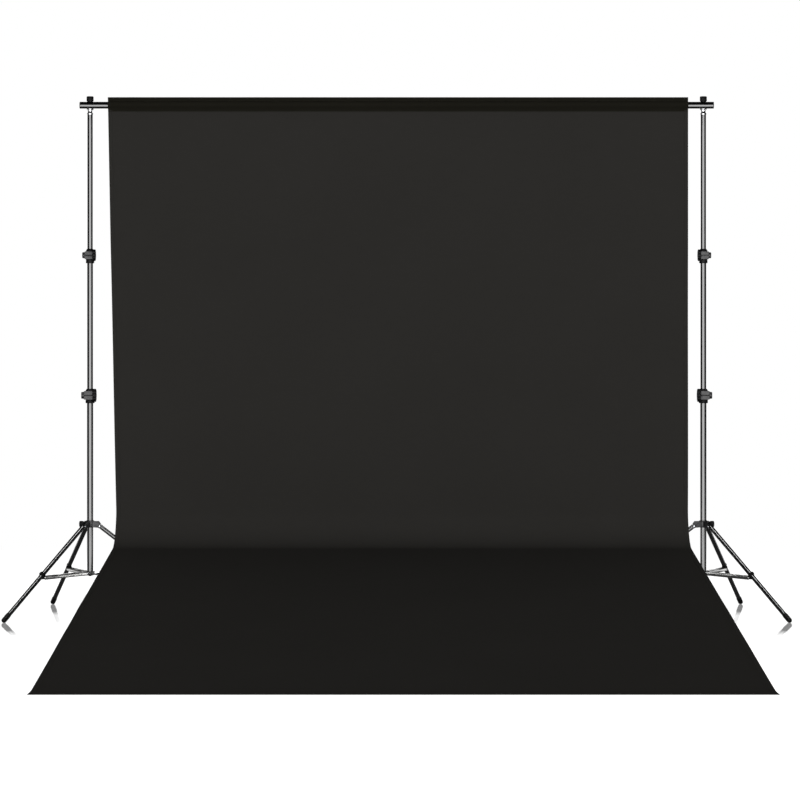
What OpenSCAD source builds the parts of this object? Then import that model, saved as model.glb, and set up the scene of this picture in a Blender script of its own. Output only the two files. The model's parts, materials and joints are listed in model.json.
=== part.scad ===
// Backdrop support kit: two folding light stands, a sectional crossbar and a hanging cloth.
// Millimetres, +Z up. The origin is on the floor, at the middle of the whole footprint.
// X runs along the crossbar, and the cloth comes forward from it towards -Y.

/* [Crossbar] */
// Length of the crossbar over its end caps
bar_length = 3000; // [2400:50:3200]
// Outside diameter of the crossbar tube
bar_diameter = 32; // [28:1:38]
// Height of the crossbar's centre line above the floor
bar_height = 2406; // [2300:1:2500]
// Number of plug-together sections in the crossbar
bar_sections = 4; // [3:1:5]
// Distance between the two stands' columns
stand_spacing = 2902; // [2250:1:3100]

/* [Column] */
// Outside diameter of the lower column tube
lower_diameter = 29; // [28:1:34]
// Step in diameter from one column tube to the next
tube_step = 2; // [2:0.5:4]
// Wall of every column tube
tube_wall = 0.8; // [0.6:0.1:0.8]
// Underside of the brace hub above the floor, with the legs spread
column_clearance = 181; // [170:1:200]
// Height of the lower lock collar's middle
lower_lock_height = 1029; // [1000:1:1060]
// Height of the upper lock collar's middle
upper_lock_height = 1691; // [1680:1:1720]
// Height of one lock collar's sleeve
lock_sleeve_height = 66; // [60:1:68]
// Length of tube that stays inside the next one when extended
tube_overlap = 100; // [80:5:140]

/* [Tripod] */
// Length of a leg from its pivot to the middle of its foot
leg_length = 672; // [640:1:700]
// Outside diameter of a leg tube
leg_diameter = 21; // [19:0.5:21]
// Angle of a spread leg from vertical, in degrees
leg_angle = 53.1; // [50:0.1:56]
// Radius of the leg pivots about the column
leg_pivot_radius = 48; // [46:1:54]
// Distance down the leg to the middle of the brace clip
clip_distance = 355; // [345:1:400]
// Offset of the brace rivet from the leg's centre line
clip_offset = 15; // [14.5:0.5:17]
// Radius of the brace pivots about the column
brace_pivot_radius = 30; // [30:1:36]
// Height of the brace pivots above the floor
brace_pivot_height = 192; // [190:1:200]
// Turn of the inner leg about the column, towards the front, in degrees
leg_turn = 6; // [0:1:12]

/* [Cloth] */
// Width of the cloth at the bottom
cloth_width = 2710; // [2000:10:2750]
// Extra width at the top, all on the left side
cloth_top_extra = 36; // [0:1:40]
// Shift of the cloth's middle towards the right stand
cloth_shift = 24; // [0:1:30]
// Thickness of the cloth's solid, heavier than the real weave
cloth_thickness = 1; // [1:0.5:3]
// Height of the top header above the crossbar's top
header_height = 22; // [10:1:30]
// Depth of the pocket's band below the crossbar's centre line
pocket_drop = 30; // [24:1:60]
// Height at which the hanging cloth starts to bend forward
sweep_rise = 488; // [470:1:600]
// Radius of the bend at the foot of the hanging cloth
sweep_radius = 170; // [160:10:250]
// Slope of the cloth where it leaves the bend, in degrees
sweep_slope = 5.7; // [5.5:0.1:9]
// Distance forward over which the cloth reaches the floor
sweep_reach = 3240; // [2800:10:3300]
// Distance of the cloth's front edge in front of the crossbar
floor_reach = 3340; // [3280:10:3600]
// Height of the line where the upper and lower cloth panels meet
panel_height = 1100; // [1050:10:1200]

/* [Hidden] */
$fn = 64;

// finishes
tube_black = "#17171a";
moulded_black = "#2b2b2e";
knob_black = "#1d1d1f";
channel_black = "#26262a";
rivet_zinc = "#c9ccd0";
chrome = "#d8dade";
rubber_black = "#151515";
cloth_black = "#2c2b29";

LEFT = -1;
RIGHT = 1;
INNER = 0;
REAR = 1;
FRONT = 2;

// fits
slide_gap = 0.3;
press_gap = 0.05;
pivot_gap = 0.08;
ear_gap = 0.4;

// column tubes
lower_r = lower_diameter / 2;
middle_r = lower_r - tube_step / 2;
top_r = middle_r - tube_step / 2;
sleeve_h = lock_sleeve_height;
lower_tube_bottom = column_clearance + 5;
lower_tube_top = lower_lock_height + 12;
middle_tube_top = upper_lock_height + 12;
middle_tube_bottom = lower_tube_top - tube_overlap;
top_tube_bottom = middle_tube_top - tube_overlap;

// crossbar and what holds it
bar_r = bar_diameter / 2;
bar_wall = 1.2;
cap_flange = 3;
joiner_length = 120;
stand_x = stand_spacing / 2;
bar_bottom = bar_height - bar_r;
bar_top = bar_height + bar_r;
spigot_height = 28;
top_tube_top = bar_bottom - spigot_height;
stud_r = 4;
top_knob_r = 16.5;
top_knob_h = 25;

// lock collars: the lower one is a size larger
lower_lock_scale = 1.13;
sleeve_wall = 6;
clamp_gap = 3;
clamp_screw_y = -29;
clamp_rise = 4;
knob_r = 27.5;
knob_t = 13;
knob_clearance = 1;
nut_r = 15;
nut_t = 11;

// tripod
leg_r = leg_diameter / 2;
leg_wall = 1.2;
foot_r = leg_r + 1.3;
foot_sink = 1;
leg_pivot_height = foot_r - foot_sink + leg_length * cos(leg_angle);
leg_azimuth = [-leg_turn, 120 - leg_turn, 240 - leg_turn];
hub_knob_azimuth = 180 - leg_turn;
hub_bottom = leg_pivot_height - 6;
hub_h = 31;
hub_r = 21;
rivet_r = 3;
ear_t = 3.5;
clip_r = leg_r + 1.1;

// braces, from the pivot on the brace hub to the rivet beside the leg
tip_r = leg_pivot_radius + clip_distance * sin(leg_angle) - clip_offset * cos(leg_angle);
tip_z = leg_pivot_height - clip_distance * cos(leg_angle) - clip_offset * sin(leg_angle);
brace_length = norm([tip_r - brace_pivot_radius, tip_z - brace_pivot_height]);
brace_angle = atan2(tip_z - brace_pivot_height, tip_r - brace_pivot_radius);
brace_t = 1.6;
brace_half_h = 8.5;
brace_gap = clip_r + ear_gap;
web_start = 15;
web_end = brace_length - 104;
small_rivet_r = 2.5;

// cloth
cloth_right = cloth_width / 2 + cloth_shift;
cloth_left = cloth_shift - cloth_width / 2;
cloth_left_top = cloth_left - cloth_top_extra;
header_top = bar_top + header_height;
pocket_r = bar_r + 1;
bend_steps = 14;
ramp_steps = 16;
bend_turn = 90 - sweep_slope;
ramp_start = [sweep_radius * (cos(bend_turn) - 1), sweep_rise - sweep_radius * sin(bend_turn)];
ramp_foot = max(ramp_start[0] - ramp_start[1] / tan(sweep_slope), 40 - sweep_reach);

// the footprint runs from the cloth's front edge to the back of the rear feet
rear_foot_reach = (leg_pivot_radius + leg_length * sin(leg_angle)) * sin(leg_azimuth[REAR]);
bar_y = (floor_reach - rear_foot_reach - foot_r) / 2;

// ---------- frames ----------

// A stand's own frame: column on Z, +X towards the other stand
module at_stand(side)
    translate([side * stand_x, bar_y, 0])
        mirror([side == RIGHT ? 1 : 0, 0, 0])
            children();

// A leg's own frame: +Z down the leg from its pivot, +X to its underside
module at_leg(which)
    rotate([0, 0, leg_azimuth[which]])
        translate([leg_pivot_radius, 0, leg_pivot_height])
            rotate([0, 180 - leg_angle, 0])
                children();

// A brace's own frame: +X out along the brace from its pivot on the brace hub
module at_brace(which)
    rotate([0, 0, leg_azimuth[which]])
        translate([brace_pivot_radius, 0, brace_pivot_height])
            rotate([0, -brace_angle, 0])
                children();

// A cylinder of length h centred on the origin along Y
module cross_pin(r, h)
    rotate([90, 0, 0])
        cylinder(r = r, h = h, center = true);

module tube(outer, wall, bottom, top)
    translate([0, 0, bottom])
        difference() {
            cylinder(r = outer, h = top - bottom);
            translate([0, 0, -1])
                cylinder(r = outer - wall, h = top - bottom + 2);
        }

// ---------- column ----------

module lower_tube(side)
    color(tube_black)
        at_stand(side)
            tube(lower_r, tube_wall, lower_tube_bottom, lower_tube_top);

module middle_tube(side)
    color(tube_black)
        at_stand(side)
            tube(middle_r, tube_wall, middle_tube_bottom, middle_tube_top);

module top_tube(side)
    color(tube_black)
        at_stand(side)
            tube(top_r, tube_wall, top_tube_bottom, top_tube_top);

// Distance from the column's axis to the clamp block's face under the knob
function clamp_face(outer, k) = outer + 2 * k;

// A moulded sleeve on the outer tube's top end, with a split clamp block in front.
// The inner tube runs through its guide above the outer tube's end.
// The sleeve has a flat beside the block, where the knob turns.
module collar_body(outer, inner, outer_end, k) {
    r = outer + sleeve_wall * k;
    half = sleeve_h / 2;
    face = clamp_face(outer, k);
    block_w = 22 * k + face;
    block_h = 36 * k;
    screw_z = clamp_rise * k;
    block_y = clamp_screw_y * k;
    difference() {
        union() {
            rotate_extrude()
                polygon([
                    [0, -half], [r - 2, -half], [r, -half + 2],
                    [r, half - 5], [r - 4, half], [0, half]
                ]);
            translate([-22 * k, block_y - 8 * k, screw_z - block_h / 2])
                cube([block_w, -block_y + 8 * k - 2, block_h]);
        }
        translate([0, 0, -half - 1])
            cylinder(r = outer + press_gap, h = outer_end + half + 1);
        cylinder(r = inner + slide_gap, h = half + 1);
        translate([-22 * k - 1, block_y - 8 * k - 1, screw_z - clamp_gap / 2])
            cube([block_w + 2, 8 * k + 4, clamp_gap]);
        translate([0, block_y, screw_z])
            rotate([0, 90, 0])
                cylinder(r = rivet_r + pivot_gap, h = 90 * k, center = true);
        translate([face + 0.1, block_y, screw_z])
            rotate([0, 90, 0])
                cylinder(r = knob_r * k + knob_clearance, h = 30);
    }
    // the captive nut's round boss, on the outer side
    translate([-22 * k, block_y, screw_z])
        rotate([0, -90, 0])
            difference() {
                cylinder(r1 = nut_r * k, r2 = nut_r * k - 1.5, h = nut_t * k);
                translate([0, 0, -1])
                    cylinder(r = rivet_r + pivot_gap, h = nut_t * k - 2);
            }
}

// A scalloped clamp knob on its screw, turning about X
module collar_knob_body(outer, k) {
    translate([0, clamp_screw_y * k, clamp_rise * k])
        rotate([0, 90, 0]) {
            translate([0, 0, clamp_face(outer, k) + 0.1 + slide_gap])
                difference() {
                    union() {
                        cylinder(r1 = knob_r * k - 2, r2 = knob_r * k, h = 3);
                        translate([0, 0, 3])
                            cylinder(r = knob_r * k, h = knob_t * k - 5);
                        translate([0, 0, knob_t * k - 2])
                            cylinder(r1 = knob_r * k, r2 = knob_r * k - 2, h = 2);
                    }
                    for (a = [0 : 45 : 315])
                        rotate([0, 0, a + 22.5])
                            translate([knob_r * k + 3.2, 0, -1])
                                cylinder(r = 6.5 * k, h = knob_t * k + 2);
                    translate([0, 0, knob_t * k - 3])
                        cylinder(r = 13 * k, h = 4);
                }
            translate([0, 0, -28 * k])
                cylinder(r = rivet_r, h = 50 * k);
        }
}

module lower_collar(side)
    color(moulded_black)
        at_stand(side)
            translate([0, 0, lower_lock_height])
                collar_body(lower_r, middle_r, lower_tube_top - lower_lock_height, lower_lock_scale);

module upper_collar(side)
    color(moulded_black)
        at_stand(side)
            translate([0, 0, upper_lock_height])
                collar_body(middle_r, top_r, middle_tube_top - upper_lock_height, 1);

module lower_collar_knob(side)
    color(knob_black)
        at_stand(side)
            translate([0, 0, lower_lock_height])
                collar_knob_body(lower_r, lower_lock_scale);

module upper_collar_knob(side)
    color(knob_black)
        at_stand(side)
            translate([0, 0, upper_lock_height])
                collar_knob_body(middle_r, 1);

// ---------- tripod ----------

// One ear of the fork that holds a leg, as an outline in the leg's plane
module leg_ear_outline() {
    ear_top = hub_bottom + hub_h - 1.5;
    translate([leg_pivot_radius, leg_pivot_height])
        circle(r = 9);
    polygon([
        [12, hub_bottom + 1], [leg_pivot_radius - 2, hub_bottom - 1],
        [leg_pivot_radius + 6, leg_pivot_height + 3], [leg_pivot_radius + 1, ear_top - 12],
        [leg_pivot_radius - 8, ear_top], [12, ear_top]
    ]);
}

// The sliding hub: a sleeve with three forks and a boss for its lock knob
module leg_hub(side)
    color(moulded_black)
        at_stand(side)
            difference() {
                union() {
                    translate([0, 0, hub_bottom])
                        cylinder(r = hub_r, h = hub_h);
                    for (a = leg_azimuth)
                        rotate([0, 0, a]) {
                            for (s = [-1, 1])
                                translate([0, s * (leg_r + 0.6 + ear_t / 2) + ear_t / 2, 0])
                                    rotate([90, 0, 0])
                                        linear_extrude(ear_t)
                                            leg_ear_outline();
                            translate([12, -leg_r - 1, hub_bottom + hub_h - 6])
                                cube([leg_pivot_radius - 22, leg_diameter + 2, 4]);
                        }
                    translate([0, 0, hub_bottom + hub_h / 2])
                        rotate([0, 90, hub_knob_azimuth])
                            cylinder(r = 10, h = 31);
                }
                translate([0, 0, hub_bottom - 5])
                    cylinder(r = lower_r + slide_gap, h = hub_h + 10);
                for (a = leg_azimuth)
                    rotate([0, 0, a])
                        translate([leg_pivot_radius, 0, leg_pivot_height])
                            cross_pin(rivet_r + press_gap, 60);
                translate([0, 0, hub_bottom + hub_h / 2])
                    rotate([0, 90, hub_knob_azimuth])
                        cylinder(r = rivet_r + pivot_gap, h = 40);
            }

// Rivets through the forks and the leg tops
module leg_hub_rivets(side)
    color(rivet_zinc)
        at_stand(side)
            for (a = leg_azimuth)
                rotate([0, 0, a])
                    translate([leg_pivot_radius, 0, leg_pivot_height]) {
                        cross_pin(rivet_r, leg_diameter + 1.2 + 2 * ear_t);
                        for (s = [0, 180])
                            rotate([0, 0, s])
                                translate([0, leg_r + 0.6 + ear_t, 0])
                                    rotate([-90, 0, 0])
                                        cylinder(r1 = 5.5, r2 = 3.5, h = 2);
                    }

// A ribbed knob on a screw that locks the hub to the lower tube
module leg_hub_knob(side)
    color(knob_black)
        at_stand(side)
            translate([0, 0, hub_bottom + hub_h / 2])
                rotate([0, 90, hub_knob_azimuth]) {
                    difference() {
                        translate([0, 0, 31 + slide_gap])
                            union() {
                                cylinder(r = 13.5, h = 4);
                                translate([0, 0, 4])
                                    cylinder(r = 15, h = 13);
                                translate([0, 0, 17])
                                    cylinder(r1 = 15, r2 = 13, h = 2);
                            }
                        for (a = [0 : 30 : 330])
                            rotate([0, 0, a])
                                translate([16.2, 0, 34])
                                    cylinder(r = 2.4, h = 20);
                    }
                    translate([0, 0, lower_r + 0.5])
                        cylinder(r = rivet_r, h = 18);
                }

// The fixed hub at the column's foot: a cup under the tube with three lugs
module brace_hub(side)
    color(moulded_black)
        at_stand(side)
            difference() {
                union() {
                    translate([0, 0, column_clearance + 2])
                        cylinder(r = lower_r + 3, h = 18);
                    translate([0, 0, column_clearance])
                        cylinder(r1 = lower_r + 1, r2 = lower_r + 3, h = 2);
                    for (a = leg_azimuth)
                        rotate([0, 0, a]) {
                            translate([12, -clip_r, brace_pivot_height - 8])
                                cube([brace_pivot_radius - 12, 2 * clip_r, 16]);
                            translate([brace_pivot_radius, 0, brace_pivot_height])
                                cross_pin(8, 2 * clip_r);
                        }
                }
                translate([0, 0, lower_tube_bottom])
                    cylinder(r = lower_r + press_gap, h = 60);
                for (a = leg_azimuth)
                    rotate([0, 0, a])
                        translate([brace_pivot_radius, 0, brace_pivot_height])
                            cross_pin(small_rivet_r + press_gap, 60);
            }

// Rivets through the lugs and the braces' inner ends
module brace_hub_rivets(side)
    color(rivet_zinc)
        at_stand(side)
            for (a = leg_azimuth)
                rotate([0, 0, a])
                    translate([brace_pivot_radius, 0, brace_pivot_height]) {
                        cross_pin(small_rivet_r, 2 * (brace_gap + brace_t + 0.3));
                        for (s = [0, 180])
                            rotate([0, 0, s])
                                translate([0, brace_gap + brace_t + 0.3, 0])
                                    rotate([-90, 0, 0])
                                        cylinder(r1 = 5, r2 = 3.2, h = 1.8);
                    }

// A leg tube with a solid round knuckle at its pivot
module leg(side, which)
    color(tube_black)
        at_stand(side)
            at_leg(which)
                difference() {
                    union() {
                        tube(leg_r, leg_wall, 0, leg_length - 8);
                        cross_pin(leg_r, leg_diameter);
                        cylinder(r = leg_r, h = 14);
                    }
                    cross_pin(rivet_r + pivot_gap, 60);
                }

// A rubber foot, moulded flat where it meets the floor
module foot(side, which)
    color(rubber_black)
        at_stand(side)
            difference() {
                at_leg(which)
                    difference() {
                        union() {
                            translate([0, 0, leg_length])
                                sphere(r = foot_r);
                            translate([0, 0, leg_length - 36])
                                cylinder(r = foot_r, h = 36);
                            translate([0, 0, leg_length - 40])
                                cylinder(r1 = foot_r - 0.7, r2 = foot_r, h = 4);
                        }
                        translate([0, 0, leg_length - 41])
                            cylinder(r = leg_r + press_gap, h = 34);
                    }
                translate([-1000, -1000, -60])
                    cube([2000, 2000, 60]);
            }

// A clip round the leg: a ring, a tab on the underside for the brace, a clamp nub on top
module leg_clip(side, which)
    color(knob_black)
        at_stand(side)
            at_leg(which)
                translate([0, 0, clip_distance])
                    difference() {
                        union() {
                            cylinder(r = clip_r, h = 18, center = true);
                            translate([0, -clip_r, -9])
                                cube([clip_offset, 2 * clip_r, 18]);
                            translate([clip_offset, 0, 0])
                                cross_pin(7, 2 * clip_r);
                            translate([-leg_r - 5.5, -5, -8])
                                cube([8, 10, 16]);
                        }
                        cylinder(r = leg_r + press_gap, h = 40, center = true);
                        translate([clip_offset, 0, 0])
                            cross_pin(small_rivet_r + press_gap, 60);
                    }

// One side of a brace: a strip with round ends
module brace_ear_outline() {
    translate([0, -brace_half_h])
        square([brace_length, 2 * brace_half_h]);
    for (x = [0, brace_length])
        translate([x, 0])
            circle(r = brace_half_h);
}

// A pressed channel, web on top, whose ears straddle the lug and the leg.
// The web stops short so that the leg can fold down between the ears.
module brace(side, which)
    color(channel_black)
        at_stand(side)
            at_brace(which) {
                for (s = [-1, 1])
                    difference() {
                        translate([0, s * (brace_gap + brace_t / 2), 0])
                            rotate([90, 0, 0])
                                linear_extrude(brace_t, center = true)
                                    brace_ear_outline();
                        cross_pin(small_rivet_r + pivot_gap, 60);
                    }
                translate([web_start, -brace_gap - brace_t / 2, brace_half_h - brace_t])
                    cube([web_end - web_start, 2 * brace_gap + brace_t, brace_t]);
                // the two ends of the rivet at the leg
                for (s = [0, 180])
                    translate([brace_length, 0, 0])
                        rotate([0, 0, s])
                            translate([0, brace_gap + brace_t - 0.2, 0])
                                rotate([-90, 0, 0])
                                    cylinder(r1 = 5, r2 = 3.2, h = 2);
            }

// ---------- top of the column ----------

// A turned adapter: a plug in the tube, a waisted neck, a seat for the bar and a stud
module spigot(side)
    color(chrome)
        at_stand(side)
            translate([0, 0, top_tube_top])
                rotate_extrude()
                    polygon([
                        [0, -40], [top_r - tube_wall - press_gap, -40], [top_r - tube_wall - press_gap, 0],
                        [14, 0], [14, 5], [11, 8], [10, 16], [12, 21], [16, 24],
                        [16, spigot_height], [stud_r, spigot_height],
                        [stud_r, spigot_height + bar_diameter + 20], [0, spigot_height + bar_diameter + 21]
                    ]);

// A ribbed cap nut that clamps the crossbar down on the spigot
module top_knob(side)
    color(knob_black)
        at_stand(side)
            translate([0, 0, bar_top + slide_gap])
                difference() {
                    union() {
                        cylinder(r = top_knob_r - 2.5, h = 3);
                        translate([0, 0, 3])
                            cylinder(r = top_knob_r, h = top_knob_h - 5);
                        translate([0, 0, top_knob_h - 2])
                            cylinder(r1 = top_knob_r, r2 = top_knob_r - 2, h = 2);
                    }
                    translate([0, 0, -1])
                        cylinder(r = stud_r + pivot_gap, h = 22.5);
                    for (a = [0 : 30 : 330])
                        rotate([0, 0, a])
                            translate([top_knob_r + 1.2, 0, 3])
                                cylinder(r = 2.4, h = top_knob_h);
                }

// ---------- crossbar ----------

// The plug-together tubes, drilled at both ends for the spigots' studs
module crossbar_sections() {
    tube_length = bar_length - 2 * cap_flange;
    section = tube_length / bar_sections;
    color(tube_black)
        translate([0, bar_y, bar_height])
            difference() {
                for (i = [0 : bar_sections - 1])
                    translate([-tube_length / 2 + i * section, 0, 0])
                        rotate([0, 90, 0])
                            difference() {
                                cylinder(r = bar_r, h = section - 0.4);
                                translate([0, 0, -1])
                                    cylinder(r = bar_r - bar_wall, h = section + 2);
                            }
                for (s = [LEFT, RIGHT])
                    translate([s * stand_x, 0, 0])
                        cylinder(r = stud_r + 0.3, h = 2 * bar_diameter, center = true);
            }
}

// Solid plugs inside each break of the crossbar
module crossbar_joiners() {
    section = (bar_length - 2 * cap_flange) / bar_sections;
    color(channel_black)
        for (i = [1 : bar_sections - 1])
            translate([(i - bar_sections / 2) * section - joiner_length / 2, bar_y, bar_height])
                rotate([0, 90, 0])
                    difference() {
                        cylinder(r = bar_r - bar_wall - press_gap, h = joiner_length);
                        translate([0, 0, -1])
                            cylinder(r = bar_r - bar_wall - 3, h = joiner_length + 2);
                    }
}

module crossbar_end_caps()
    color(rubber_black)
        for (s = [0, 180])
            translate([0, bar_y, bar_height])
                rotate([0, 0, s])
                    translate([bar_length / 2, 0, 0])
                        rotate([0, -90, 0]) {
                            cylinder(r1 = bar_r - 1, r2 = bar_r, h = 1);
                            translate([0, 0, 1])
                                cylinder(r = bar_r, h = cap_flange - 1);
                            cylinder(r = bar_r - bar_wall - press_gap, h = 18);
                        }

// ---------- cloth ----------

// Extrudes a profile drawn in the Y-Z plane along X, over the cloth's width
module across_cloth(left, right)
    translate([left, bar_y, 0])
        rotate([90, 0, 90])
            linear_extrude(right - left)
                children();

// Keeps what lies inside the cloth's outline, whose left edge runs in from the top
module inside_cloth_edges()
    intersection() {
        children();
        translate([0, bar_y + 200, 0])
            rotate([90, 0, 0])
                linear_extrude(floor_reach + 400)
                    polygon([
                        [cloth_left_top, header_top], [cloth_left, sweep_rise], [cloth_left, -1],
                        [cloth_right, -1], [cloth_right, header_top]
                    ]);
    }

// The sewn tube that the crossbar runs through, with a standing header
module cloth_pocket()
    color(cloth_black)
        inside_cloth_edges()
            across_cloth(cloth_left_top, cloth_right)
                translate([0, bar_height])
                    difference() {
                        union() {
                            circle(r = pocket_r + cloth_thickness);
                            translate([-cloth_thickness, 0])
                                square([2 * cloth_thickness, header_top - bar_height]);
                            translate([-cloth_thickness, -pocket_drop])
                                square([2 * cloth_thickness, pocket_drop]);
                        }
                        circle(r = pocket_r);
                    }

// The hanging cloth from the pocket's seam down to the panel line
module cloth_upper_panel()
    color(cloth_black)
        inside_cloth_edges()
            across_cloth(cloth_left_top, cloth_right)
                translate([-cloth_thickness / 2, panel_height])
                    square([cloth_thickness, bar_height - pocket_drop - panel_height]);

// A point on the bend at the foot of the hanging cloth, from 0 to 1, at a radius
function bend_point(t, r) = [
    r * cos(bend_turn * t) - sweep_radius,
    sweep_rise - r * sin(bend_turn * t)
];

// A point on the long slope from the bend to the floor, from 0 to 1, a little above or below.
// The cloth's end is square to the bend at the top, and upright at the floor.
function ramp_point(t, above) =
    (1 - t) * (1 - t) * ramp_start
    + 2 * t * (1 - t) * [ramp_foot, cloth_thickness / 2]
    + t * t * [-sweep_reach, cloth_thickness / 2]
    + (1 - t) * above * [-sin(sweep_slope), cos(sweep_slope)]
    + t * [0, above];

// The hanging cloth below the panel line, down to the end of its bend
module cloth_lower_panel() {
    half = cloth_thickness / 2;
    color(cloth_black)
        inside_cloth_edges()
            across_cloth(cloth_left_top, cloth_right)
                polygon([
                    [half, panel_height],
                    for (i = [0 : bend_steps]) bend_point(i / bend_steps, sweep_radius + half),
                    for (i = [bend_steps : -1 : 0]) bend_point(i / bend_steps, sweep_radius - half),
                    [-half, panel_height]
                ]);
}

// The cloth's long slope from the bend to the floor
module cloth_ramp_panel() {
    half = cloth_thickness / 2;
    color(cloth_black)
        inside_cloth_edges()
            across_cloth(cloth_left, cloth_right)
                polygon([
                    for (i = [0 : ramp_steps]) ramp_point(i / ramp_steps, -half),
                    for (i = [ramp_steps : -1 : 0]) ramp_point(i / ramp_steps, half)
                ]);
}

// The cloth that lies flat on the floor
module cloth_floor_panel()
    color(cloth_black)
        inside_cloth_edges()
            across_cloth(cloth_left, cloth_right)
                translate([-floor_reach, 0])
                    square([floor_reach - sweep_reach, cloth_thickness]);

// ---------- nodes ----------

lower_tube(LEFT);  // left_lower_tube
middle_tube(LEFT);  // left_middle_tube
top_tube(LEFT);  // left_top_tube
lower_collar(LEFT);  // left_lower_collar
upper_collar(LEFT);  // left_upper_collar
lower_collar_knob(LEFT);  // left_lower_collar_knob
upper_collar_knob(LEFT);  // left_upper_collar_knob
leg_hub(LEFT);  // left_leg_hub
leg_hub_knob(LEFT);  // left_leg_hub_knob
leg_hub_rivets(LEFT);  // left_leg_hub_rivets
brace_hub(LEFT);  // left_brace_hub
brace_hub_rivets(LEFT);  // left_brace_hub_rivets
leg(LEFT, INNER);  // left_inner_leg
leg(LEFT, REAR);  // left_rear_leg
leg(LEFT, FRONT);  // left_front_leg
brace(LEFT, INNER);  // left_inner_brace
brace(LEFT, REAR);  // left_rear_brace
brace(LEFT, FRONT);  // left_front_brace
leg_clip(LEFT, INNER);  // left_inner_leg_clip
leg_clip(LEFT, REAR);  // left_rear_leg_clip
leg_clip(LEFT, FRONT);  // left_front_leg_clip
foot(LEFT, INNER);  // left_inner_foot
foot(LEFT, REAR);  // left_rear_foot
foot(LEFT, FRONT);  // left_front_foot
spigot(LEFT);  // left_spigot
top_knob(LEFT);  // left_top_knob

lower_tube(RIGHT);  // right_lower_tube
middle_tube(RIGHT);  // right_middle_tube
top_tube(RIGHT);  // right_top_tube
lower_collar(RIGHT);  // right_lower_collar
upper_collar(RIGHT);  // right_upper_collar
lower_collar_knob(RIGHT);  // right_lower_collar_knob
upper_collar_knob(RIGHT);  // right_upper_collar_knob
leg_hub(RIGHT);  // right_leg_hub
leg_hub_knob(RIGHT);  // right_leg_hub_knob
leg_hub_rivets(RIGHT);  // right_leg_hub_rivets
brace_hub(RIGHT);  // right_brace_hub
brace_hub_rivets(RIGHT);  // right_brace_hub_rivets
leg(RIGHT, INNER);  // right_inner_leg
leg(RIGHT, REAR);  // right_rear_leg
leg(RIGHT, FRONT);  // right_front_leg
brace(RIGHT, INNER);  // right_inner_brace
brace(RIGHT, REAR);  // right_rear_brace
brace(RIGHT, FRONT);  // right_front_brace
leg_clip(RIGHT, INNER);  // right_inner_leg_clip
leg_clip(RIGHT, REAR);  // right_rear_leg_clip
leg_clip(RIGHT, FRONT);  // right_front_leg_clip
foot(RIGHT, INNER);  // right_inner_foot
foot(RIGHT, REAR);  // right_rear_foot
foot(RIGHT, FRONT);  // right_front_foot
spigot(RIGHT);  // right_spigot
top_knob(RIGHT);  // right_top_knob

crossbar_sections();
crossbar_joiners();
crossbar_end_caps();
cloth_pocket();
cloth_upper_panel();
cloth_lower_panel();
cloth_ramp_panel();
cloth_floor_panel();
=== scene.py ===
"""A portable backdrop support: two folding light stands, a sectional crossbar and a sweeping black cloth.

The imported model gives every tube, hub, collar and brace its place. Here they get their finishes, their
softened edges and their small fittings, and the cloth gets its pocket, hems, stitching and drape.
"""
import json
import math

import bmesh
import bpy
import numpy as np
from mathutils import Matrix, Vector

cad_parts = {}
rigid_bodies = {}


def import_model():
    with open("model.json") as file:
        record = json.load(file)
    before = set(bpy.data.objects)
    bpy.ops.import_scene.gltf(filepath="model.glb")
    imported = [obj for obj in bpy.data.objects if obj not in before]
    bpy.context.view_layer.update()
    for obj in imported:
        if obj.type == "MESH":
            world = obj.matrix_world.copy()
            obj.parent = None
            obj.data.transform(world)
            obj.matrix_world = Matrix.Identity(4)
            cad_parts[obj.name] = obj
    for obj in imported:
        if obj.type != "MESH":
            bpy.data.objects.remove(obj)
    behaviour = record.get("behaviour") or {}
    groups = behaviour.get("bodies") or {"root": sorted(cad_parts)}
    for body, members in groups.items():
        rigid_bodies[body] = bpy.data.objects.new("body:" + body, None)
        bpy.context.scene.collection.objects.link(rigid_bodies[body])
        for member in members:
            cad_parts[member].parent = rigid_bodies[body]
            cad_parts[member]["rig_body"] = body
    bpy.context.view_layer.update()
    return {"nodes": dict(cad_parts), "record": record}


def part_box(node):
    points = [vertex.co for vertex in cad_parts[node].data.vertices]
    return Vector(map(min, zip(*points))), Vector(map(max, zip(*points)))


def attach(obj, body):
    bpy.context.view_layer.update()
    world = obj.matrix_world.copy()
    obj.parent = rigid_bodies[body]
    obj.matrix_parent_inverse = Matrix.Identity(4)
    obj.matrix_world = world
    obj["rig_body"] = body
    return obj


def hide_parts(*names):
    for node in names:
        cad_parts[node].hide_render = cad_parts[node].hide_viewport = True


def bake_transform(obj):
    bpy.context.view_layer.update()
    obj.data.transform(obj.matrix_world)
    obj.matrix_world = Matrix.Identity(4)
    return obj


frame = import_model()
MM = 0.001

# ---------- places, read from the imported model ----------

SIDES = {"left": -1, "right": 1}
LEGS = ("inner", "rear", "front")
JOINTS = {joint["name"]: joint for joint in frame["record"]["behaviour"]["joints"]}
bar_low, bar_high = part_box("crossbar_sections")
BAR = (bar_low + bar_high) / 2
BAR_R = (bar_high.z - bar_low.z) / 2
column_low, column_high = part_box("right_lower_tube")
STAND_X = (column_low.x + column_high.x) / 2
COLUMN_R_MM = (column_high.x - column_low.x) / 2 / MM
floor_low, floor_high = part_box("cloth_floor_panel")
pocket_low, pocket_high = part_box("cloth_pocket")

# ---------- the shape of the cloth, as it is cut and hung ----------

CLOTH_LEFT = floor_low.x
CLOTH_RIGHT = floor_high.x
CLOTH_LEFT_TOP = pocket_low.x
CLOTH_FRONT = BAR.y - floor_low.y
HEADER_TOP = pocket_high.z
POCKET_SEAM = pocket_low.z
PANEL_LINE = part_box("cloth_upper_panel")[0].z
CLOTH_T = 0.9 * MM

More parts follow.
